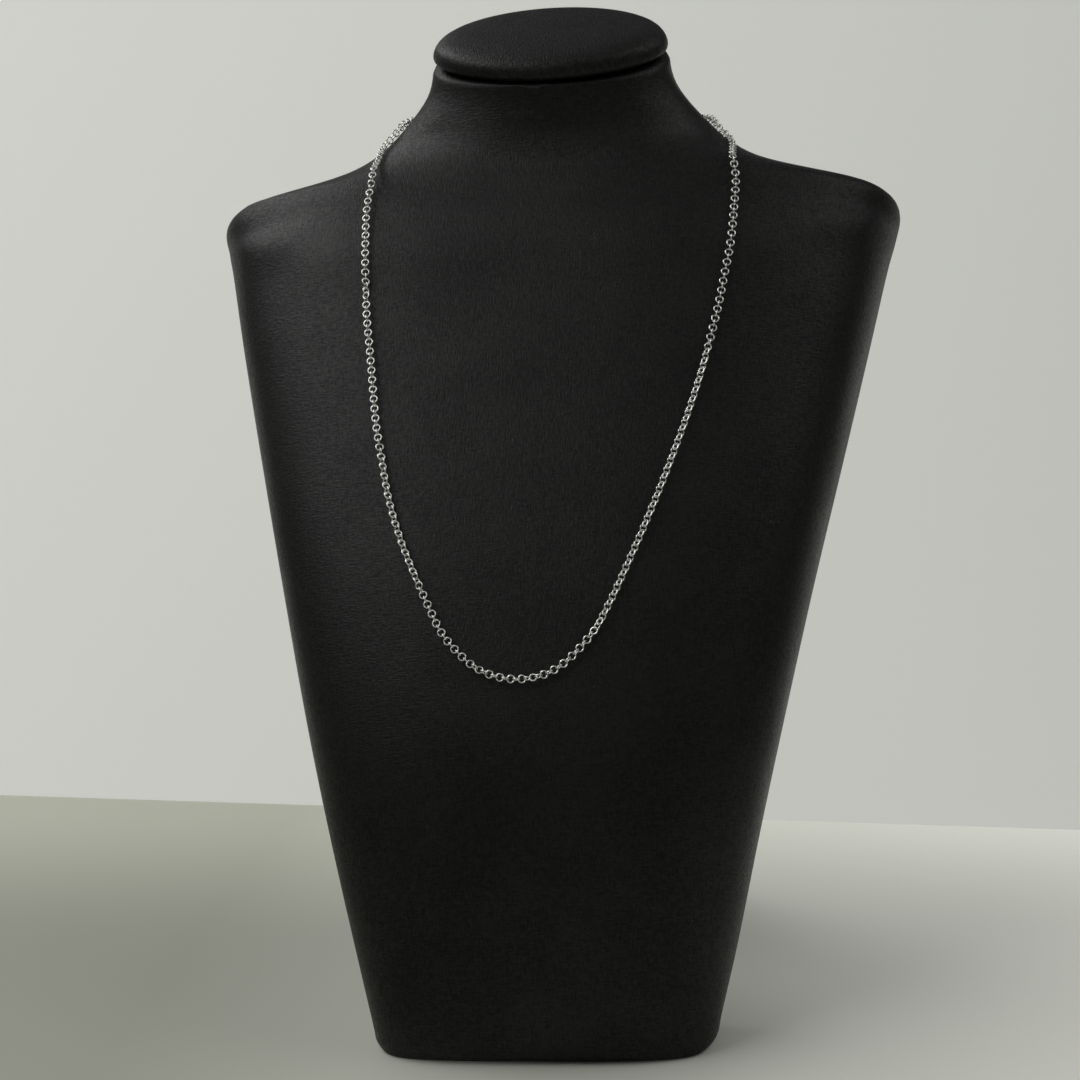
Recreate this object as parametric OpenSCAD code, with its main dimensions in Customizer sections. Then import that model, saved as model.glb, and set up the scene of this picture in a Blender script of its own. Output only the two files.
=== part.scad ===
// Portuguese link chain on a plain black neck bust.
// A necklace of small round silver links hangs in a long U on a padded bust that leans back.
// The bust stands on its foot and on a plain strut behind it. Front is -Y, up is +Z, sizes in mm.

/* [Chain] */
// Distance from one link to the next
link_pitch = 1.5; // [1.49:0.01:1.51]
// Thickness of a link's wire
link_wire = 0.36; // [0.32:0.01:0.37]
// Free play between two links that hang in each other
link_play = 0.12; // [0.11:0.01:0.13]
// Number of links on the front stretch
front_links = 236; // [234:2:236]
// Smallest space between the chain and the bust
chain_clear = 0.25; // [0.25:0.05:0.4]

/* [Clasp] */
// Length of the closed clasp
clasp_len = 10; // [9:0.5:11]
// Width of the clasp
clasp_w = 3.6; // [3.2:0.2:4.4]
// Thickness of the clasp
clasp_t = 1.4; // [1.2:0.1:1.6]
// Hole for the last link at each end of the clasp
clasp_hole = 1.8; // [1.6:0.1:2]

/* [Pad] */
// Thickness of the pad on the neck
pad_t = 7.3; // [6.5:0.2:8.5]
// Height of the narrow groove under the pad
groove_h = 0.6; // [0.4:0.1:1.2]
// How far the groove runs in under the pad
groove_in = 5; // [4:0.5:7]

/* [Strut] */
// Width of the strut behind the bust
strut_w = 44; // [30:2:56]
// Thickness of the strut
strut_t = 7; // [5:1:9]
// Length of the strut's foot along the floor
foot_len = 26; // [22:1:30]

/* [Detail] */
// Points round each section of the bust
round_points = 64; // [56:8:72]
// Steps from one row of the bust's table to the next
row_steps = 3; // [3:1:4]

/* [Hidden] */

// Sections of the bust from its foot to the neck's rim. A section is a closed curve in a plane
// that tilts about X. Columns: y and z of the front point, tilt of the plane towards the back,
// half width, depth from the front point to the widest line, depth from there to the back,
// roundness of the front and of the back, where 2 is an ellipse and more is squarer.
sections = [
  [1.5, 0, 0, 42.5, 11, 9, 4.4, 3.5],
  [-1, 2, 0, 46.5, 22, 10, 3.6, 4],
  [-2.5, 7.5, -4, 47.5, 25, 10, 3.4, 5],
  [-1, 28, -10, 52, 28, 10, 3, 6],
  [4.5, 59, -14, 58.5, 29, 10, 3, 6],
  [15.5, 92, -18, 66, 30, 10, 3, 6],
  [33.5, 127.5, -22, 74.5, 31, 10, 3, 6],
  [54, 161, -27, 83, 32, 10, 3, 6],
  [75, 194, -30, 91.5, 33.5, 10, 3, 6],
  [90, 217, -30, 97.5, 36, 8.5, 2.9, 6],
  [94.5, 223.5, -28, 100, 37, 8, 2.7, 5],
  [98.6, 229.7, -25, 101, 35.4, 8.5, 2.4, 4.5],
  [100.3, 232.3, -24, 90.5, 29.8, 16, 2.8, 4],
  [104, 238, -18, 61, 31, 12.5, 2.3, 3],
  [106, 244, -6, 47, 20, 23, 2, 2.5],
  [107, 250.5, 9, 37, 18, 27, 2, 2.2],
  [107, 255.5, 22, 35, 21, 27, 2, 2]
];
last_row = len(sections) - 1;
rim = sections[last_row];

// The chain's way down the front, across and up again. Columns: x and height on the bust.
front_route = [
  [-47.5, 239.5], [-50, 234.5], [-50.5, 230.5], [-51.5, 221.5], [-51, 212], [-50.5, 203.5],
  [-49.5, 193], [-48, 183.5], [-46.5, 173.5], [-45, 164], [-43, 155.5], [-40.5, 145.5],
  [-37, 136], [-33.5, 128.5], [-28, 118], [-23, 110], [-14, 102.5], [-3.5, 100],
  [7, 102.5], [16, 110.5], [21, 118.5], [25.5, 127.5], [30, 137], [34, 146],
  [37.5, 154.5], [41, 163.5], [44.5, 173.5], [47, 182], [49.5, 191.5], [51.5, 201],
  [53, 208.5], [54, 218], [54.5, 227.5], [53, 233.5], [51, 236]
];
route_steps = 12;

// Slow twist of the chain. Columns: number of the link, turn in degrees.
twist_table = [
  [0, 0], [23, 0], [31, 90], [59, 90], [64, 135], [87, 135], [92, 180], [107, 180],
  [109.5, 205], [112, 180], [118, 180], [120, 200], [122, 180], [132, 180], [137, 225],
  [191, 225], [196, 270], [236, 270]
];

// The chain's ways over the neck's sides to the clasp. Columns: x, y, z.
left_route = [
  [-49.7, 112, 236], [-50.3, 117, 237], [-50, 119.5, 238.5], [-49.5, 121.5, 240.5],
  [-48.8, 123.5, 242], [-47.6, 126.5, 243.4], [-46, 130.7, 244.2], [-43.3, 135.5, 244.8],
  [-39.5, 140, 245.4], [-34.2, 144, 246], [-27, 147.7, 246.6], [-19.5, 150, 247],
  [-15, 151.2, 247.2]
];
right_route = [
  [52.7, 115.5, 235.7], [51.9, 119.3, 237], [51.2, 121.5, 238.7], [50.5, 123.5, 240.3],
  [49.6, 126.5, 241.5], [47.9, 131.5, 242.2], [45, 136, 242.9], [40.4, 140.5, 243.7],
  [34.5, 144.5, 244.6], [27.5, 147.7, 245.6], [20, 150, 246.5], [15, 151.2, 247]
];
tube_step = 1 / 3;
tube_sides = 8;
tube_gap = 0.35;

// The clasp's middle
clasp_place = [0, 151.7, 247.5];

// The strut's top end, as row numbers down the bust's back
strut_rows = [6.35, 6.6];
strut_foot_y = 132;
strut_gap = 0.3;
ankle_h = 8;

// The pad's round outline. Columns: distance in from the rim, part of the pad's thickness.
pad_dome = [
  [1.6, 0], [0.5, 0.07], [0, 0.2], [0.3, 0.41], [1.2, 0.63], [2.8, 0.79], [5.5, 0.9],
  [10, 0.97], [16, 1]
];
pad_gap = 0.2;
pad_profile = concat(
  [[groove_in, pad_gap], [groove_in, groove_h]],
  [for (p = pad_dome) [p[0], groove_h + p[1] * pad_t]]
);

link_outer = link_pitch + 2 * link_wire + link_play;
link_mid = (link_outer - link_wire) / 2;
chain_lift = link_outer / 2 + chain_clear;

// The origin is under the middle of the whole, on the floor
front_edge = min([for (i = [0 : 5 * row_steps]) along(sections, i / row_steps)[0]]);
rear_edge = strut_foot_y + foot_len;
shift = [0, -(front_edge + rear_edge) / 2, 0];

function unit(v) = v / norm(v);

// A point of the smooth curve through four neighbours, between the second and the third
function smooth(a, b, c, d, u) =
  0.5 * (2 * b + (c - a) * u + (2 * a - 5 * b + 4 * c - d) * u * u
  + (3 * b - a - 3 * c + d) * u * u * u);

// The smooth curve through a table's rows at row number t, whole or not
function along(table, t) =
  let (n = len(table) - 1, i = min(floor(t), n - 1))
  smooth(table[max(i - 1, 0)], table[i], table[i + 1], table[min(i + 2, n)], t - i);

// A point on a section's curve, from its row and the turn round it: 0 front, 90 right, 180 back
function section_point(row, turn) =
  let (
    n = cos(turn) >= 0 ? row[6] : row[7],
    c = pow(abs(cos(turn)), 2 / n),
    depth = cos(turn) >= 0 ? row[4] * (1 - c) : row[4] + row[5] * c
  )
  [
    row[3] * sign(sin(turn)) * pow(abs(sin(turn)), 2 / n),
    row[0] + depth * cos(row[2]),
    row[1] + depth * sin(row[2])
  ];

// A point on the bust's front at row number t and sideways place x
function front_point(t, x) =
  let (
    row = along(sections, t),
    s = pow(min(abs(x) / row[3], 1), row[6] / 2),
    depth = row[4] * (1 - pow(sqrt(1 - s * s), 2 / row[6]))
  )
  [x, row[0] + depth * cos(row[2]), row[1] + depth * sin(row[2])];

// The row number at which the front has height z at the sideways place x
function row_at(x, z, low = 2, high = last_row, tries = 16) =
  let (middle = (low + high) / 2)
  tries == 0 ? middle
  : front_point(middle, x)[2] < z ? row_at(x, z, middle, high, tries - 1)
  : row_at(x, z, low, middle, tries - 1);

// The chain's centre line over the front: a point, and the way out from the bust there
function chain_point(u) =
  let (
    place = along(front_route, u),
    t = row_at(place[0], place[1]),
    p = front_point(t, place[0]),
    across = front_point(t, place[0] + 0.5) - front_point(t, place[0] - 0.5),
    up = front_point(t + 0.02, place[0]) - front_point(t - 0.02, place[0]),
    out = unit(cross(across, up))
  )
  [p + chain_lift * out, out];

route_samples = [
  for (i = [0 : route_steps * (len(front_route) - 1)]) chain_point(i / route_steps)
];

// Distance from the sample before to sample i
function gap_before(i) = norm(route_samples[i][0] - route_samples[i - 1][0]);

// Columns: length from the route's start, number of the sample
route_lengths = [
  for (
    i = 0, s = 0;
    i < len(route_samples);
    i = i + 1, s = s + (i < len(route_samples) ? gap_before(i) : 0)
  )
  [s, i]
];
route_length = route_lengths[len(route_lengths) - 1][0];
route_start = (route_length - (front_links - 1) * link_pitch) / 2;
route_end = route_start + (front_links - 1) * link_pitch;

// A sample of the route at length s from its start
function route_at(s) =
  let (
    place = lookup(s, route_lengths),
    i = min(floor(place), len(route_samples) - 2),
    f = place - i
  )
  route_samples[i] * (1 - f) + route_samples[i + 1] * f;

// One round link, lying in the XY plane
module link() {
  rotate_extrude($fn = 16)
    translate([link_mid, 0])
      circle(d = link_wire, $fn = 16);
}

// Link k of the front stretch, turned about the chain's own line
module front_link(k) {
  s = route_start + k * link_pitch;
  here = route_at(s);
  ahead = unit(route_at(s + link_pitch / 2)[0] - route_at(s - link_pitch / 2)[0]);
  side = unit(cross(here[1], ahead));
  out = cross(ahead, side);
  turn = 90 * (k % 2) + lookup(k, twist_table);
  face = cos(turn) * out + sin(turn) * side;
  edge = cross(face, ahead);
  multmatrix([
    [ahead[0], edge[0], face[0], here[0][0]],
    [ahead[1], edge[1], face[1], here[0][1]],
    [ahead[2], edge[2], face[2], here[0][2]]
  ])
    link();
}

// A closed skin over rings of the same number of points
module skin(rings) {
  n = len(rings[0]);
  sides = [
    for (i = [0 : len(rings) - 2]) for (j = [0 : n - 1])
      let (a = i * n + j, b = i * n + (j + 1) % n)
      each [[a, a + n, b], [b, a + n, b + n]]
  ];
  first = [for (j = [0 : n - 1]) j];
  last = [for (j = [0 : n - 1]) len(rings) * n - 1 - j];
  polyhedron([for (ring = rings) each ring], concat([first, last], sides));
}

// A round tube along a way of points
module tube(way) {
  count = floor((len(way) - 1) / tube_step);
  middles = [for (i = [0 : count]) along(way, i * tube_step)];
  rings = [
    for (i = [0 : count])
      let (
        ahead = unit(middles[min(i + 1, count)] - middles[max(i - 1, 0)]),
        side = unit(cross([0, 0, 1], ahead)),
        up = cross(ahead, side)
      )
      [
        for (j = [0 : tube_sides - 1])
          let (a = -360 * j / tube_sides)
          middles[i] + link_outer / 2 * (cos(a) * side + sin(a) * up)
      ]
  ];
  skin(rings);
}

// The padded bust: chest, shoulders and neck in one form
module bust_body() {
  color([0.1, 0.1, 0.1])
    translate(shift)
      skin([
        for (i = [0 : last_row * row_steps])
          [
            for (j = [0 : round_points - 1])
              section_point(along(sections, i / row_steps), 360 * j / round_points)
          ]
      ]);
}

// The oval pad that closes the neck, on a neck piece that is set in to leave a narrow groove
module neck_pad() {
  normal = [0, -sin(rim[2]), cos(rim[2])];
  inward = [0, cos(rim[2]), sin(rim[2])];
  color([0.13, 0.13, 0.13])
    translate(shift)
      skin([
        for (p = pad_profile)
          [
            for (j = [0 : round_points - 1])
              section_point(
                [
                  rim[0] + p[0] * inward[1], rim[1] + p[0] * inward[2], rim[2],
                  rim[3] - p[0], rim[4] - p[0], rim[5] - p[0], 2, 2
                ],
                360 * j / round_points
              ) + p[1] * normal
          ]
      ]);
}

// The plain strut from the bust's back down to the floor
module rear_strut() {
  low = section_point(along(sections, strut_rows[0]), 180);
  high = section_point(along(sections, strut_rows[1]), 180);
  slope = unit(high - low);
  gap = strut_gap * [0, slope[2], -slope[1]];
  a = low + gap;
  b = high + gap;
  color([0.15, 0.15, 0.15])
    translate(shift)
      rotate([90, 0, 90])
        linear_extrude(strut_w, center = true)
          polygon([
            [a[1], a[2]],
            [strut_foot_y, strut_t],
            [strut_foot_y, 0],
            [rear_edge, 0],
            [rear_edge, ankle_h],
            [b[1], b[2]]
          ]);
}

// The visible necklace, links that hang in each other without touching
module chain_front() {
  color("silver")
    translate(shift)
      for (k = [0 : front_links - 1])
        front_link(k);
}

// The same chain over the neck's sides to the clasp, as two plain tubes
module chain_nape() {
  join = link_outer / 2 + tube_gap;
  color("silver")
    translate(shift) {
      tube(concat(
        [route_at(route_start - join)[0], route_at(route_start - 3 * join)[0]],
        left_route,
        [clasp_place - [clasp_len / 2 + tube_gap, 0, 0]]
      ));
      tube(concat(
        [route_at(route_end + join)[0], route_at(route_end + 3 * join)[0]],
        right_route,
        [clasp_place + [clasp_len / 2 + tube_gap, 0, 0]]
      ));
    }
}

// The plain clasp with a hole at each end
module clasp() {
  reach = (clasp_len - clasp_w) / 2;
  color("silver")
    translate(shift + clasp_place)
      rotate([90, 0, 0])
        difference() {
          union() {
            cube([2 * reach, clasp_w, clasp_t], center = true);
            for (side = [-1, 1])
              translate([side * reach, 0, 0])
                cylinder(d = clasp_w, h = clasp_t, center = true, $fn = 48);
          }
          for (side = [-1, 1])
            translate([side * reach, 0, 0])
              cylinder(d = clasp_hole, h = 2 * clasp_t, center = true, $fn = 32);
        }
}

bust_body();
neck_pad();
rear_strut();
chain_front();
chain_nape();
clasp();
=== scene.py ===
import math
import bpy
import bmesh
import numpy as np
from mathutils import Matrix, Vector
from mathutils.bvhtree import BVHTree


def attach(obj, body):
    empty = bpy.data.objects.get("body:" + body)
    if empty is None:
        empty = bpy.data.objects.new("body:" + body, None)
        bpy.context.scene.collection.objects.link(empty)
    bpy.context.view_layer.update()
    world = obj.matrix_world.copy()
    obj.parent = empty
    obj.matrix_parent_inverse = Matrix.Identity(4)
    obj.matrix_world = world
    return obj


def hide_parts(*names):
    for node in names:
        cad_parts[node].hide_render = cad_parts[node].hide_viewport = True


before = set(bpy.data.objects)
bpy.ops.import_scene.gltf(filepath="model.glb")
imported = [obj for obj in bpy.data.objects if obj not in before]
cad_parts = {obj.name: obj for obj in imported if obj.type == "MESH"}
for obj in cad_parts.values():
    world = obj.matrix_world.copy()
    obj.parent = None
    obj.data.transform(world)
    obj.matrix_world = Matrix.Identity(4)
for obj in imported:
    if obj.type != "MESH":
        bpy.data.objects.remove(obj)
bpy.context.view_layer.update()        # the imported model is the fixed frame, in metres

millimetre = 0.001
shiftY = -77.75        # the part's own shift, so that the routes below read as in its source


def place(x, y, z):        # a point of the part's source, in the frame's metres
    return Vector((x, y + shiftY, z)) * millimetre


camera = {
    "position": (89.57, -649.36, 256.46),
    "right": (0.9919, 0.11902, -0.04433),
    "up": (0.02266, 0.17761, 0.98384),
    "lens": 86.67,
    "sensor": 36.0,
}


def buildCamera():
    data = bpy.data.cameras.new("photoCamera")
    data.lens = camera["lens"]
    data.sensor_width = camera["sensor"]
    data.clip_start = 0.01
    data.clip_end = 50
    obj = bpy.data.objects.new("photoCamera", data)
    bpy.context.scene.collection.objects.link(obj)
    right = Vector(camera["right"]).normalized()
    up = Vector(camera["up"]).normalized()
    back = right.cross(up).normalized()
    up = back.cross(right)
    turn = Matrix((right, up, back)).transposed().to_4x4()
    obj.matrix_world = Matrix.Translation(place(*camera["position"])) @ turn
    bpy.context.scene.camera = obj
    print("camera placed")


def newMaterial(name):
    mat = bpy.data.materials.new(name)
    mat.use_nodes = True
    tree = mat.node_tree
    tree.nodes.clear()
    out = tree.nodes.new("ShaderNodeOutputMaterial")
    shader = tree.nodes.new("ShaderNodeBsdfPrincipled")
    tree.links.new(shader.outputs[0], out.inputs[0])
    return mat, tree, shader


def addNode(tree, kind, settings=None, **inputs):
    node = tree.nodes.new(kind)
    for key, value in (settings or {}).items():
        setattr(node, key, value)
    for key, value in inputs.items():
        numbered = key[0] == "i" and key[1:].isdigit()        # i3 is the node's input of index 3
        socket = node.inputs[int(key[1:]) if numbered else key]
        if isinstance(value, bpy.types.NodeSocket):
            tree.links.new(value, socket)
        else:
            socket.default_value = value
    return node


def ramp(tree, source, stops):
    node = tree.nodes.new("ShaderNodeValToRGB")
    tree.links.new(source, node.inputs[0])
    elements = node.color_ramp.elements
    while len(elements) < len(stops):
        elements.new(0.5)
    for element, (at, value) in zip(elements, stops):
        element.position = at
        element.color = (value, value, value, 1) if isinstance(value, float) else value
    return node.outputs[0]


def mathNode(tree, operation, a, b=None, c=None):
    node = tree.nodes.new("ShaderNodeMath")
    node.operation = operation
    for i, value in enumerate((a, b, c)):
        if value is None:
            continue
        if isinstance(value, bpy.types.NodeSocket):
            tree.links.new(value, node.inputs[i])
        else:
            node.inputs[i].default_value = value
    return node.outputs[0]


leatherette = {
    "dark": (0.0018, 0.0018, 0.0015, 1),
    "light": (0.0165, 0.0165, 0.0152, 1),
    "dust": (0.13, 0.13, 0.12, 1),
    "threadWidth": 0.00042,     # across one pressed thread of the linen grain
    "threadLength": 0.0018,     # how far a thread runs before it fades
    "lean": 25,     # degrees, the cross threads follow the bust's tilted sections
    "bumpDepth": 0.00036,
    "roughLow": 0.355,
    "roughHigh": 0.53,
    "specular": 0.21,
    "flank": (0.62, 0.80),      # how far sideways a face looks where the threads turn to run down it
    "patchScale": 42.0,         # soft uneven patches, per metre
    "shares": (0.8, 0.2),       # of the grain and of the patches in the tone
    "toneSpan": (0.41, 0.60),
    "roughSpan": (0.40, 0.61),
    "dustScale": 62.0,          # cells per metre, of which the rare ones hold a light dot
    "dustSize": 0.013,
    "dustRare": 0.72,
    "dustShare": 0.55,
}


def threadField(tree, coords, scale, seed):        # long thin streaks, as pressed threads
    shift = (seed, seed * 0.7, seed * 1.3)
    mapping = addNode(tree, "ShaderNodeMapping", i0=coords, i1=shift, i3=scale)
    noise = addNode(tree, "ShaderNodeTexNoise", i0=mapping.outputs[0],
                    Scale=1.0, Detail=2.0, Roughness=0.6, Distortion=0.15)
    return noise.outputs[0]


def smoothRange(tree, value, fromLow, fromHigh, toLow, toHigh):
    node = addNode(tree, "ShaderNodeMapRange", {"interpolation_type": "SMOOTHSTEP"},
                   i0=value, i1=fromLow, i2=fromHigh, i3=toLow, i4=toHigh)
    return node.outputs[0]


def addBump(tree, shader, height, strength, distance):
    bump = addNode(tree, "ShaderNodeBump", Strength=strength, Distance=distance, Height=height)
    tree.links.new(bump.outputs[0], shader.inputs["Normal"])


def mixValue(tree, factor, a, b):
    node = addNode(tree, "ShaderNodeMix", {"data_type": "FLOAT"})
    for i, value in ((0, factor), (2, a), (3, b)):
        tree.links.new(value, node.inputs[i])
    return node.outputs[0]


def leatheretteMaterial(name, lying=False, bump=0.6):        # lying: a cloth that lies nearly flat
    mat, tree, shader = newMaterial(name)
    coords = addNode(tree, "ShaderNodeTexCoord").outputs["Object"]
    lean = (math.radians(leatherette["lean"]), 0, 0)
    turned = addNode(tree, "ShaderNodeMapping", i0=coords, i2=lean).outputs[0]
    fine = 1 / leatherette["threadWidth"]
    long = 1 / leatherette["threadLength"]
    warp = threadField(tree, coords, (fine, long, long), 3.0)
    if lying:
        weft = threadField(tree, coords, (long, fine, long), 11.0)
    else:
        weft = threadField(tree, turned, (long, long, fine), 11.0)
    flank = threadField(tree, turned, (long, fine, long), 7.0)        # threads down the sides
    normal = addNode(tree, "ShaderNodeNewGeometry").outputs["Normal"]
    sideways = mathNode(tree, "ABSOLUTE", addNode(tree, "ShaderNodeSeparateXYZ", i0=normal).outputs[0])
    flankFrom, flankTo = leatherette["flank"]
    onFlank = ramp(tree, sideways, [(flankFrom, 0.0), (flankTo, 1.0)])
    down = mixValue(tree, onFlank, warp, flank)
    grain = mathNode(tree, "ADD", mathNode(tree, "MULTIPLY", down, 0.5),
                     mathNode(tree, "MULTIPLY", weft, 0.5))
    patches = addNode(tree, "ShaderNodeTexNoise", i0=coords,
                      Scale=leatherette["patchScale"], Detail=3.0, Roughness=0.55)
    grainShare, patchShare = leatherette["shares"]
    shade = mathNode(tree, "ADD", mathNode(tree, "MULTIPLY", grain, grainShare),
                     mathNode(tree, "MULTIPLY", patches.outputs[0], patchShare))
    low, high = leatherette["toneSpan"]
    tone = ramp(tree, shade, [(low, leatherette["dark"]), (high, leatherette["light"])])
    dust = addNode(tree, "ShaderNodeTexVoronoi", {"feature": "F1"}, i0=coords,
                   Scale=leatherette["dustScale"], Randomness=1.0)
    near = mathNode(tree, "LESS_THAN", dust.outputs["Distance"], leatherette["dustSize"])
    chance = addNode(tree, "ShaderNodeSeparateColor", i0=dust.outputs["Color"]).outputs[0]
    rare = mathNode(tree, "GREATER_THAN", chance, leatherette["dustRare"])
    speck = mathNode(tree, "MULTIPLY", mathNode(tree, "MULTIPLY", near, rare), leatherette["dustShare"])
    colour = addNode(tree, "ShaderNodeMix", {"data_type": "RGBA"}, i0=speck, i6=tone, i7=leatherette["dust"])
    tree.links.new(colour.outputs[2], shader.inputs["Base Color"])
    low, high = leatherette["roughSpan"]
    rough = ramp(tree, shade, [(low, leatherette["roughHigh"]), (high, leatherette["roughLow"])])
    tree.links.new(rough, shader.inputs["Roughness"])
    addBump(tree, shader, grain, bump, leatherette["bumpDepth"])
    shader.inputs["Specular IOR Level"].default_value = leatherette["specular"]
    return mat


weld = {
    "together": 0.000002,       # vertices nearer than this are one, in metres
    "shortest": 0.000001,
    "quadFace": 40,             # two triangles become a quad up to these angles
    "quadShape": 60,
}


def nodeCopy(node, joinQuads=True):        # a welded copy of a CAD node, as a bmesh
    bm = bmesh.new()
    bm.from_mesh(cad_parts[node].data)
    bmesh.ops.remove_doubles(bm, verts=bm.verts, dist=weld["together"])
    bmesh.ops.dissolve_degenerate(bm, dist=weld["shortest"], edges=bm.edges)
    bmesh.ops.recalc_face_normals(bm, faces=bm.faces)
    if joinQuads:
        bmesh.ops.join_triangles(bm, faces=bm.faces,
                                 angle_face_threshold=math.radians(weld["quadFace"]),
                                 angle_shape_threshold=math.radians(weld["quadShape"]))
    return bm


def finishPiece(bm, name, material, nodes=()):
    mesh = bpy.data.meshes.new(name)
    bm.to_mesh(mesh)
    bm.free()
    for poly in mesh.polygons:
        poly.use_smooth = True
    obj = bpy.data.objects.new(name, mesh)
    bpy.context.scene.collection.objects.link(obj)
    obj.data.materials.append(material)
    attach(obj, "root")
    if nodes:
        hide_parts(*nodes)
    return obj


def subdivide(obj, levels):
    mod = obj.modifiers.new("Subdivision", "SUBSURF")
    mod.levels = levels
    mod.render_levels = levels


def softenEdges(bm, edges, offset, segments):
    bmesh.ops.bevel(bm, geom=edges, offset=offset, segments=segments, profile=0.5,
                    affect="EDGES", material=-1, clamp_overlap=True)


bust = {
    "levels": 1,
    "rimCrease": 0.75,
    "capArea": 0.0004,      # faces above this, in square metres, are the flat ends
    "drawn": (0.208, 0.246, 26),      # its depth is evened between these heights, in so many rounds
    "stretched": (0.214, 0.246, 8),      # and all of it between these
    "cornerFrom": 0.070,      # out from here the stretching fades, so that the shoulder keeps its corner
    "cornerTo": 0.090,
}


def buildBust(mat):
    bm = nodeCopy("bust_body")
    low, high, rounds = bust["drawn"]
    band = [v for v in bm.verts if low < v.co.z < high]
    for _ in range(rounds):        # only in depth
        bmesh.ops.smooth_vert(bm, verts=band, factor=0.5,
                              use_axis_x=False, use_axis_y=True, use_axis_z=False)
    low, high, rounds = bust["stretched"]
    band = [v for v in bm.verts if low < v.co.z < high]
    for turn in range(rounds):
        reach = bust["cornerTo"] + (bust["cornerFrom"] - bust["cornerTo"]) * turn / (rounds - 1)
        inner = [v for v in band if abs(v.co.x) < reach]
        bmesh.ops.smooth_vert(bm, verts=inner, factor=0.5,
                              use_axis_x=True, use_axis_y=True, use_axis_z=True)
    crease = bm.edges.layers.float.get("crease_edge") or bm.edges.layers.float.new("crease_edge")
    for face in bm.faces:
        if face.calc_area() > bust["capArea"]:
            for edge in face.edges:
                edge[crease] = bust["rimCrease"]
    obj = finishPiece(bm, "bustSkin", mat, ["bust_body"])
    subdivide(obj, bust["levels"])
    print("bust skin", len(obj.data.polygons), "faces")
    return obj


pad = {
    "levels": 1,
    "fill": 0.85,
}


def buildPad(mat):
    bm = nodeCopy("neck_pad")
    obj = finishPiece(bm, "neckCushion", mat, ["neck_pad"])
    subdivide(obj, pad["levels"])
    print("neck pad", len(obj.data.polygons), "faces")


strut = {
    "edge": 0.9 * millimetre,
    "segments": 3,
    "fibres": (900.0, 900.0, 120.0),      # per metre, so the board's fibres run upwards
    "speckleScale": 1400.0,
    "dark": (0.013, 0.013, 0.0125, 1),
    "light": (0.026, 0.026, 0.025, 1),
    "toneSpan": (0.35, 0.68),
    "rough": (0.8, 0.62),
    "roughSpan": (0.3, 0.7),
    "bumpDepth": 0.00012,
}


def boardMaterial():
    mat, tree, shader = newMaterial("strutBoard")
    coords = addNode(tree, "ShaderNodeTexCoord").outputs["Object"]
    fibres = threadField(tree, coords, strut["fibres"], 5.0)
    speckle = addNode(tree, "ShaderNodeTexNoise", i0=coords,
                      Scale=strut["speckleScale"], Detail=3.0, Roughness=0.6)
    shade = mathNode(tree, "ADD", mathNode(tree, "MULTIPLY", fibres, 0.5),
                     mathNode(tree, "MULTIPLY", speckle.outputs[0], 0.5))
    low, high = strut["toneSpan"]
    tone = ramp(tree, shade, [(low, strut["dark"]), (high, strut["light"])])
    tree.links.new(tone, shader.inputs["Base Color"])
    low, high = strut["roughSpan"]
    rough = ramp(tree, shade, [(low, strut["rough"][0]), (high, strut["rough"][1])])
    tree.links.new(rough, shader.inputs["Roughness"])
    addBump(tree, shader, shade, 0.5, strut["bumpDepth"])
    return mat


def buildStrut(mat):
    bm = nodeCopy("rear_strut", joinQuads=False)
    bmesh.ops.dissolve_limit(bm, angle_limit=math.radians(1), verts=bm.verts, edges=bm.edges)
    softenEdges(bm, bm.edges[:], strut["edge"], strut["segments"])
    obj = finishPiece(bm, "strutBoard", mat, ["rear_strut"])
    print("strut", len(obj.data.polygons), "faces")


chain = {        # lengths in millimetres
    "pitch": 1.5,
    "wire": 0.40,      # polished wire reads a little fuller than the bare solid's
    "outer": 2.40,
    "lift": 0.14,      # least space between the skin and the edge of a link that stands on it
    "free": 9.0,      # the last stretch before the clasp hangs free of the skin
    "leaving": 18.0,      # the chain leaves the skin gently over this stretch
    "joining": 9.0,      # and comes to it gently from the front stretch over this one
    "eased": 14,      # links at each end of the front stretch that are eased into one curve
    "easing": 3,      # and in so many rounds
    "napeEasing": 120,
    "onward": 0.8,      # pitches that the chain goes on straight where it leaves the front stretch
    "sides": 16,
    "wireSides": 6,
    "silver": (0.96, 0.95, 0.92, 1),
    "rough": (0.24, 0.36),
    "worn": (0.82, 0.81, 0.77, 1),
    "wearScale": 1500.0,      # per metre
    "toneSpan": (0.3, 0.6),
    "roughSpan": (0.3, 0.65),
    "bumpDepth": 0.00004,
}
leftRoute = [
    (-50.3, 112.7, 235.8), (-49.8, 117.5, 237.6), (-49, 120, 239.8), (-47.6, 121, 242),
    (-46, 122.5, 243.8), (-44.6, 125.5, 245), (-42.8, 130.5, 245.8), (-40.2, 136, 246.2),
    (-36, 141.5, 246.4), (-30, 146, 246.7), (-22.5, 149.3, 247), (-15, 151.2, 247.2),
]
rightRoute = [
    (53, 115.8, 235.4), (51.9, 119.3, 237), (50.8, 121.4, 239), (49.5, 122.4, 240.8),
    (48.2, 124.5, 242.2), (46.6, 129, 243), (44.2, 134, 243.6), (40, 139.5, 244.2),
    (34, 144.3, 244.9), (27, 147.6, 245.7), (20, 150, 246.5), (15, 151.2, 247),
]
claspPlace = (0, 151.7, 247.5)


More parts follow.
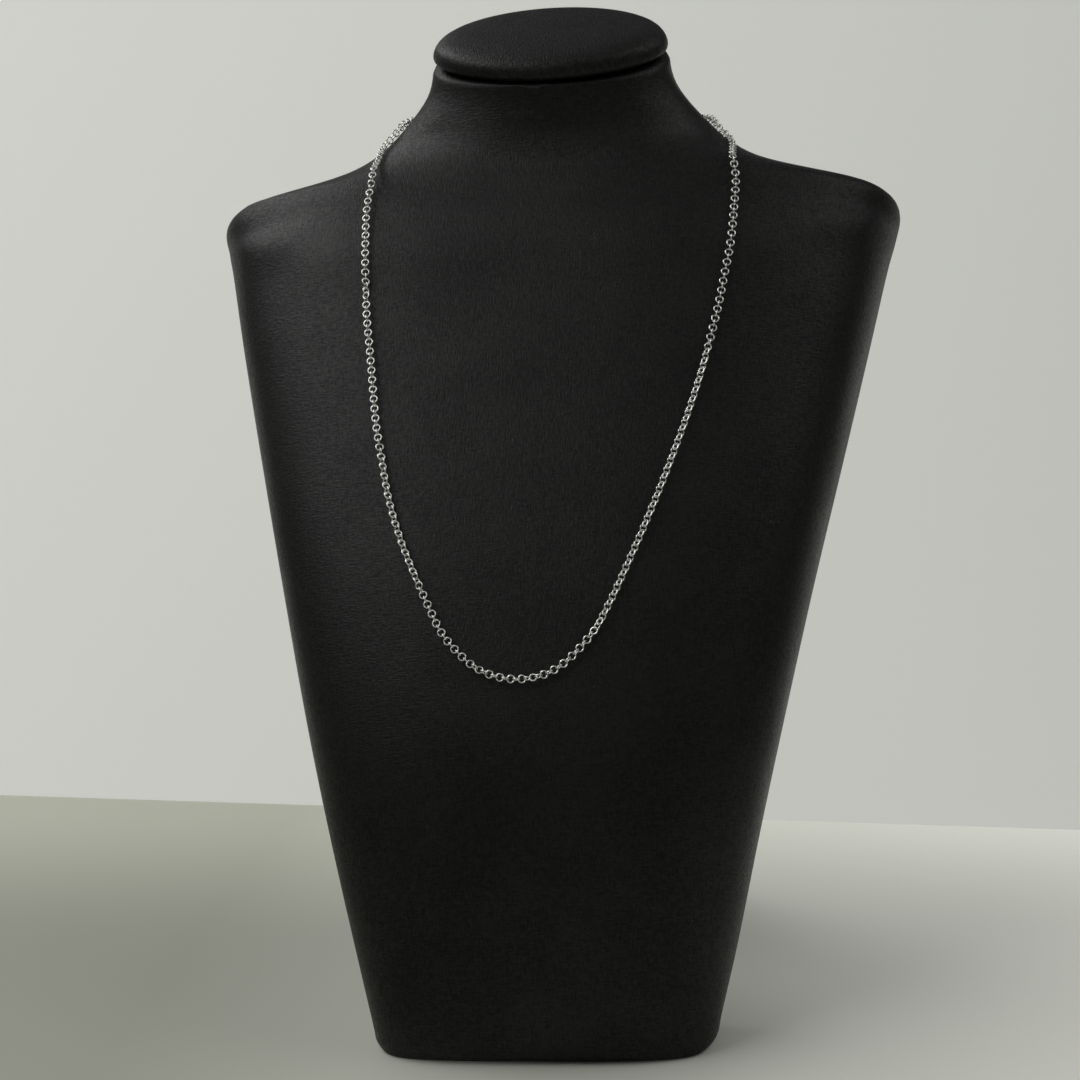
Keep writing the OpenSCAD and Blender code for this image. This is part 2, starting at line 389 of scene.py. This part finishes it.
def silverMaterial():
    mat, tree, shader = newMaterial("silverWire")
    coords = addNode(tree, "ShaderNodeTexCoord").outputs["Object"]
    wear = addNode(tree, "ShaderNodeTexNoise", i0=coords,
                   Scale=chain["wearScale"], Detail=3.0, Roughness=0.65).outputs[0]
    shader.inputs["Metallic"].default_value = 1.0
    low, high = chain["toneSpan"]
    tone = ramp(tree, wear, [(low, chain["worn"]), (high, chain["silver"])])
    tree.links.new(tone, shader.inputs["Base Color"])
    low, high = chain["roughSpan"]
    rough = ramp(tree, wear, [(low, chain["rough"][1]), (high, chain["rough"][0])])
    tree.links.new(rough, shader.inputs["Roughness"])
    addBump(tree, shader, wear, 0.12, chain["bumpDepth"])
    return mat


def linkCentres():        # centre and plane normal of every link of the CAD's front stretch
    bm = bmesh.new()
    bm.from_mesh(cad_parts["chain_front"].data)
    bmesh.ops.remove_doubles(bm, verts=bm.verts, dist=weld["shortest"])
    seen = set()
    found = []
    for start in bm.verts:
        if start.index in seen:
            continue
        seen.add(start.index)
        stack = [start]
        island = []
        while stack:
            vert = stack.pop()
            island.append(vert.co.copy())
            for edge in vert.link_edges:
                other = edge.other_vert(vert)
                if other.index not in seen:
                    seen.add(other.index)
                    stack.append(other)
        points = np.array([tuple(p) for p in island])
        axes = np.linalg.eigh(np.cov((points - points.mean(0)).T))[1]        # the flattest one comes first
        found.append((Vector(points.mean(0)), Vector(axes[:, 0])))
    bm.free()
    return found


def inOrder(found):        # from the left neck down and round to the right neck
    rest = list(found)
    first = max((item for item in rest if item[0].x < 0), key=lambda item: item[0].z)
    rest.remove(first)
    row = [first]
    while rest:
        nearest = min(rest, key=lambda item: (item[0] - row[-1][0]).length)
        rest.remove(nearest)
        row.append(nearest)
    return row


def smoothWay(points, steps=24):        # a smooth curve through the points
    way = []
    n = len(points)
    for i in range(n - 1):
        a, b, c, d = points[max(i - 1, 0)], points[i], points[i + 1], points[min(i + 2, n - 1)]
        for s in range(steps):
            u = s / steps
            way.append(0.5 * (2 * b + (c - a) * u + (2 * a - 5 * b + 4 * c - d) * u * u
                              + (3 * b - a - 3 * c + d) * u ** 3))
    way.append(points[-1].copy())
    return way


def alongWay(way, distance):        # the point and direction at a length along the way
    for a, b in zip(way, way[1:]):
        step = (b - a).length
        if distance <= step:
            return a + (b - a) * (distance / step), (b - a).normalized()
        distance -= step
    return way[-1].copy(), (way[-1] - way[-2]).normalized()


def buildLink(sizes):        # one round link, lying in XY about the origin
    outer, wire = sizes["outer"] * millimetre, sizes["wire"] * millimetre
    sides, wireSides = sizes["sides"], sizes["wireSides"]
    bm = bmesh.new()
    bmesh.ops.create_circle(bm, segments=wireSides, radius=wire / 2)
    bmesh.ops.rotate(bm, verts=bm.verts, matrix=Matrix.Rotation(math.radians(90), 3, "X"))
    bmesh.ops.translate(bm, verts=bm.verts, vec=((outer - wire) / 2, 0, 0))
    bmesh.ops.spin(bm, geom=bm.verts[:] + bm.edges[:], cent=(0, 0, 0), axis=(0, 0, 1),
                   angle=math.tau, steps=sides, use_merge=True)
    bmesh.ops.remove_doubles(bm, verts=bm.verts, dist=weld["shortest"] / 2)
    bmesh.ops.recalc_face_normals(bm, faces=bm.faces)
    return bm


def stamp(target, source, centre, normal, ahead):        # adds a copy of source, its Z along normal
    z = normal.normalized()
    x = (ahead - z * ahead.dot(z)).normalized()
    y = z.cross(x)
    turn = Matrix((x, y, z)).transposed().to_4x4()
    mesh = bpy.data.meshes.new("stamp")
    source.to_mesh(mesh)
    mesh.transform(Matrix.Translation(centre) @ turn)
    target.from_mesh(mesh)
    bpy.data.meshes.remove(mesh)


def onSkin(tree, point, exact):        # moves a link's centre to lie on the skin, or only out of it
    lift = (chain["outer"] / 2 + chain["lift"]) * millimetre
    near, normal, _, distance = tree.find_nearest(point)
    if (point - near).dot(normal) < 0:
        distance = -distance
    if exact or distance < lift:
        return near + normal * lift
    return point


def ease(points, which, rounds):        # evens out small kinks in a line of points
    for _ in range(rounds):
        eased = {i: (points[i - 1] + points[i] * 2 + points[i + 1]) / 4 for i in which}
        points = [eased.get(i, point) for i, point in enumerate(points)]
    return points


def napeLinks(tree, ends, route, claspSide):        # links from the front stretch's end to the clasp's ring
    last, before = ends
    ringReach = claspRing["hook"] * millimetre
    goal = place(*claspPlace) + Vector((claspSide * ringReach, 0, 0))
    onward = last[0] + (last[0] - before[0]) * chain["onward"]
    points = [last[0], onward] + [place(*p) for p in route] + [goal]
    way = smoothWay(points)
    lying = [way[0]]
    for point in way[1:]:
        leaving = ((point - goal).length / millimetre - chain["free"]) / chain["leaving"]
        joining = (point - way[0]).length / millimetre / chain["joining"]
        part = min(max(leaving, 0), joining, 1)
        part = part * part * (3 - 2 * part)
        lying.append(onSkin(tree, point, False).lerp(onSkin(tree, point, True), part))
    way = ease(lying, range(1, len(lying) - 1), chain["napeEasing"])
    length = sum((b - a).length for a, b in zip(way, way[1:]))
    count = round(length / (chain["pitch"] * millimetre))
    step = length / count
    face = last[1].copy()
    ahead = (last[0] - before[0]).normalized()
    links = []
    for k in range(1, count + 1):
        centre, heading = alongWay(way, k * step)
        # carry the face along the way, then give it a quarter turn from link to link
        face = ahead.rotation_difference(heading) @ face
        face = (face - heading * face.dot(heading)).normalized()
        ahead = heading
        face = Matrix.Rotation(math.radians(90), 3, heading) @ face
        links.append((centre, face.copy(), heading))
    # a slight twist, spread over the whole way, brings the last link square to the clasp's ring
    wanted = Matrix.Rotation(math.radians(claspRing["tilt"]), 3, "X") @ Vector((0, 1, 0))
    angle = math.atan2(heading.dot(face.cross(wanted)), face.dot(wanted))
    if abs(angle) > math.pi / 2:
        angle -= math.copysign(math.pi, angle)
    twisted = []
    for k, (centre, face, heading) in enumerate(links, 1):
        twisted.append((centre, Matrix.Rotation(angle * k / count, 3, heading) @ face, heading))
    return twisted, step


def buildChain(mat, skin):
    tree = BVHTree.FromObject(skin, bpy.context.evaluated_depsgraph_get())
    found = [(onSkin(tree, centre, False), normal) for centre, normal in inOrder(linkCentres())]
    last = len(found) - 1
    near = [i for i in range(1, last) if min(i, last - i) < chain["eased"]]
    centres = ease([centre for centre, normal in found], near, chain["easing"])
    normals = [normal for centre, normal in found]
    found = list(zip(centres, normals))
    print("front links", len(found))
    link = buildLink(chain)
    front = bmesh.new()
    for i, (centre, normal) in enumerate(found):
        a = found[max(i - 1, 0)][0]
        b = found[min(i + 1, last)][0]
        stamp(front, link, centre, normal, (b - a).normalized())
    finishPiece(front, "chainFront", mat, ["chain_front"])
    nape = bmesh.new()
    bothSides = ((-1, (found[0], found[1]), leftRoute), (1, (found[-1], found[-2]), rightRoute))
    for side, ends, route in bothSides:
        links, step = napeLinks(tree, ends, route, side)
        print("nape side", side, "links", len(links), "step mm", round(step / millimetre, 4))
        for centre, normal, heading in links:
            stamp(nape, link, centre, normal, heading)
    link.free()
    finishPiece(nape, "chainNape", mat, ["chain_nape"])


claspPlate = {
    "edge": 0.25,      # rounding, in millimetres
    "segments": 3,
    "sharp": 50,      # degrees, edges above this are rounded
}
claspRing = {        # lengths in millimetres
    "outer": 3.37,
    "wire": 0.40,
    "sides": 24,
    "wireSides": 8,
    "middle": 5.075,      # the ring's centre, from the clasp's middle
    "hook": 7.05,        # the last link's centre, from the clasp's middle
    "tilt": 10.0,      # degrees about X, away from lying level
}


def buildClasp(mat):
    bm = nodeCopy("clasp", joinQuads=False)
    bmesh.ops.dissolve_limit(bm, angle_limit=math.radians(1), verts=bm.verts, edges=bm.edges)
    limit = math.radians(claspPlate["sharp"])
    sharp = [e for e in bm.edges if len(e.link_faces) == 2 and e.calc_face_angle() > limit]
    softenEdges(bm, sharp, claspPlate["edge"] * millimetre, claspPlate["segments"])
    finishPiece(bm, "claspBody", mat, ["clasp"])
    rings = bmesh.new()
    ring = buildLink(claspRing)
    for side in (-1, 1):
        centre = place(*claspPlace) + Vector((side * claspRing["middle"] * millimetre, 0, 0))
        normal = Matrix.Rotation(math.radians(claspRing["tilt"]), 3, "X") @ Vector((0, 0, 1))
        stamp(rings, ring, centre, normal, Vector((1, 0, 0)))
    ring.free()
    finishPiece(rings, "claspRings", mat)
    print("clasp and its rings built")


room = {
    # painted shade: the left floor colour is darkened to stand in for a soft shadow over that side
    "floorLeftShaded": (0.40, 0.41, 0.335, 1),
    "floorRight": (0.86, 0.87, 0.79, 1),
    "floorSpan": (-0.12, 0.16),      # the floor changes from left to right between these places; its darker left is painted shade
    "floorRough": 0.62,
    "gritScale": 700.0,      # per metre
    "gritDepth": 0.0002,
    "wall": (0.5, 0.505, 0.5, 1),
    "wallRough": 0.85,
    "plasterScale": 420.0,
    "plasterDepth": 0.0003,
    "floorGlow": (0.045, 0.19),      # the floor's own faint light, as bounced around a pale room: left, right
    "footShade": (0.0, 0.075),      # that light fades under the foot: from, to, in metres
    "foot": (0.012, -0.065, 0),
    "glowLeft": (0.525, 0.532, 0.498, 1),      # the wall's own soft light, as a lit backdrop
    "glowRight": (0.385, 0.392, 0.364, 1),
    "glowSpan": (-1.05, 0.36),      # the wall's glow changes between these places on it
    "glowHeights": (-0.65, 0.35, 0.90, 1.01),      # and fades a little downwards: from z, to z, from, to
    "edgeFrom": (-0.2381, 0.1921),      # two points of the table's far edge
    "edgeTo": (0.1584, 0.1339),
    "edgeDepth": 0.03,
    "reach": 4.0,
    "wallY": 2.5,      # well back, so that views from behind see the object
    "wallHeights": (-1.1, 0.75),
    "farFloorPaintedLight": (0.02, 0.17, 0.86, 1.4),      # painted light: the floor is paler towards its far edge, standing in for light bounced from the backdrop: y, y, from, to
}
lights = [        # sizes and places in metres, power in watts
    {"name": "windowLeft", "at": (-0.75, -0.20, 1.15), "size": (1.5, 0.6), "power": 8.4,
     "colour": (1.0, 1.0, 0.99)},
    {"name": "windowBehind", "at": (-0.76, 0.53, 1.00), "size": (0.9, 0.6), "power": 3.0,
     "colour": (1.0, 1.0, 0.99)},
    {"name": "windowRight", "at": (0.80, -0.02, 1.12), "size": (0.8, 0.7), "power": 2.3,
     "colour": (1.0, 1.0, 0.98)},
]
lightsAim = (0, 0, 0.17)
ambient = {"colour": (0.96, 0.98, 1.0, 1), "strength": 0.10}


def sidewaysBlend(tree, coords, left, right, span):        # a colour that changes from left to right
    x = addNode(tree, "ShaderNodeSeparateXYZ", i0=coords).outputs[0]
    share = addNode(tree, "ShaderNodeMapRange", i0=x, i1=span[0], i2=span[1], i3=0.0, i4=1.0)
    return ramp(tree, share.outputs[0], [(0.0, left), (1.0, right)])


def floorMaterial():
    mat, tree, shader = newMaterial("paleFloor")
    coords = addNode(tree, "ShaderNodeTexCoord").outputs["Object"]
    # painted shade: the floor's colour darkens towards the left
    tone = sidewaysBlend(tree, coords, room["floorLeftShaded"], room["floorRight"], room["floorSpan"])
    x, y = addNode(tree, "ShaderNodeSeparateXYZ", i0=coords).outputs[:2]
    # painted light: the floor's colour is made paler towards its far edge, as if lit by bounce
    gain = smoothRange(tree, y, *room["farFloorPaintedLight"])
    bounceLitTone = addNode(tree, "ShaderNodeVectorMath", {"operation": "SCALE"}, i0=tone, Scale=gain)
    tree.links.new(bounceLitTone.outputs[0], shader.inputs["Base Color"])
    glow = smoothRange(tree, x, *room["floorSpan"], *room["floorGlow"])
    away = addNode(tree, "ShaderNodeVectorMath", {"operation": "DISTANCE"}, i0=coords, i1=room["foot"])
    shade = smoothRange(tree, away.outputs["Value"], *room["footShade"], 0.0, 1.0)
    shader.inputs["Emission Color"].default_value = room["floorRight"]
    tree.links.new(mathNode(tree, "MULTIPLY", glow, shade), shader.inputs["Emission Strength"])
    grit = addNode(tree, "ShaderNodeTexNoise", i0=coords,
                   Scale=room["gritScale"], Detail=3.0, Roughness=0.6)
    addBump(tree, shader, grit.outputs[0], 0.2, room["gritDepth"])
    shader.inputs["Roughness"].default_value = room["floorRough"]
    return mat


def wallMaterial():
    mat, tree, shader = newMaterial("paleWall")
    shader.inputs["Base Color"].default_value = room["wall"]
    coords = addNode(tree, "ShaderNodeTexCoord").outputs["Object"]
    glow = sidewaysBlend(tree, coords, room["glowLeft"], room["glowRight"], room["glowSpan"])
    z = addNode(tree, "ShaderNodeSeparateXYZ", i0=coords).outputs[2]
    fromZ, toZ, dim, full = room["glowHeights"]
    gain = addNode(tree, "ShaderNodeMapRange", i0=z, i1=fromZ, i2=toZ, i3=dim, i4=full)
    graded = addNode(tree, "ShaderNodeVectorMath", {"operation": "SCALE"}, i0=glow, Scale=gain.outputs[0])
    tree.links.new(graded.outputs[0], shader.inputs["Emission Color"])
    shader.inputs["Emission Strength"].default_value = 1.0
    shader.inputs["Roughness"].default_value = room["wallRough"]
    plaster = addNode(tree, "ShaderNodeTexNoise", i0=coords,
                      Scale=room["plasterScale"], Detail=3.0, Roughness=0.6)
    addBump(tree, shader, plaster.outputs[0], 0.25, room["plasterDepth"])
    return mat


def stagePlane(name, corners, mat):
    bm = bmesh.new()
    bm.faces.new([bm.verts.new(c) for c in corners])
    mesh = bpy.data.meshes.new(name)
    bm.to_mesh(mesh)
    bm.free()
    obj = bpy.data.objects.new(name, mesh)
    bpy.context.scene.collection.objects.link(obj)
    obj.data.materials.append(mat)


def buildRoom():
    left = Vector((*room["edgeFrom"], 0))
    right = Vector((*room["edgeTo"], 0))
    along = (right - left).normalized()
    far = room["reach"]
    start = left - along * far
    end = right + along * far
    down = Vector((0, 0, -room["edgeDepth"]))
    low, high = room["wallHeights"]
    back = room["wallY"]
    pale = floorMaterial()
    near = [Vector((start.x, -far, 0)), Vector((end.x, -far, 0))]
    below = [Vector((x, y, low)) for x, y in ((-far, -far), (far, -far), (far, far), (-far, far))]
    behind = [Vector((x, back, z)) for x, z in ((-far, low), (far, low), (far, high), (-far, high))]
    stagePlane("tablePlane", near + [end, start], pale)
    stagePlane("tableEdge", [start, end, end + down, start + down], pale)
    stagePlane("lowerFloor", below, pale)
    stagePlane("wallPlane", behind, wallMaterial())
    print("room built")


def buildLights():
    for spec in lights:
        data = bpy.data.lights.new(spec["name"], "AREA")
        data.shape = "RECTANGLE"
        data.size, data.size_y = spec["size"]
        data.energy = spec["power"]
        data.color = spec["colour"]
        obj = bpy.data.objects.new(spec["name"], data)
        bpy.context.scene.collection.objects.link(obj)
        at = Vector(spec["at"])
        aim = Vector(lightsAim) - at
        obj.matrix_world = Matrix.Translation(at) @ aim.to_track_quat("-Z", "Y").to_matrix().to_4x4()
    world = bpy.data.worlds.new("softRoom")
    bpy.context.scene.world = world
    world.use_nodes = True
    background = world.node_tree.nodes["Background"]
    background.inputs[0].default_value = ambient["colour"]
    background.inputs[1].default_value = ambient["strength"]
    bpy.context.scene.view_settings.view_transform = "Standard"
    print("lights set")


buildCamera()
skin = leatheretteMaterial("leatheretteSkin")
padSkin = leatheretteMaterial("leatherettePad", lying=True, bump=0.8)
silver = silverMaterial()
bustSkin = buildBust(skin)
buildPad(padSkin)
buildStrut(boardMaterial())
buildChain(silver, bustSkin)
buildClasp(silver)
buildRoom()
buildLights()
